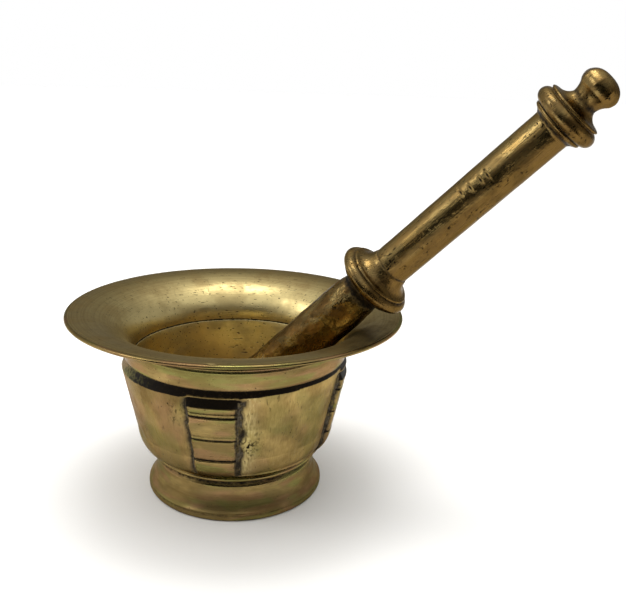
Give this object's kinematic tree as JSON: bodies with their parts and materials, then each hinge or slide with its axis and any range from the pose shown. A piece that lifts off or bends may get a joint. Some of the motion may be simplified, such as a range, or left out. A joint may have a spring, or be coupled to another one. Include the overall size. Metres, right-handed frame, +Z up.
{
  "type": "mortar and pestle",
  "caption": "Cast-brass footed mortar with a wide flared rim and upright ribs, with a turned brass pestle leaning in its bowl.",
  "frame": {"origin": "centre of the flat underside of the mortar's foot", "axes": "+Z up along the mortar's turning axis, -Y towards the viewer, the pestle's handle leans out over +X"},
  "size_m": [0.1846, 0.13, 0.1678],
  "materials": {
    "mortar_brass": "aged, turned and as-cast",
    "pestle_brass": "aged, hand-worn"
  },
  "bodies": {
    "mortar": {"mortar": "mortar_brass"},
    "pestle": {"pestle": "pestle_brass"}
  },
  "joints": [
    {"name": "pestle_lift", "type": "slide", "parent": "mortar", "child": "pestle", "axis": [0, 0, 1], "range_m": [0, 0.075]}
  ]
}
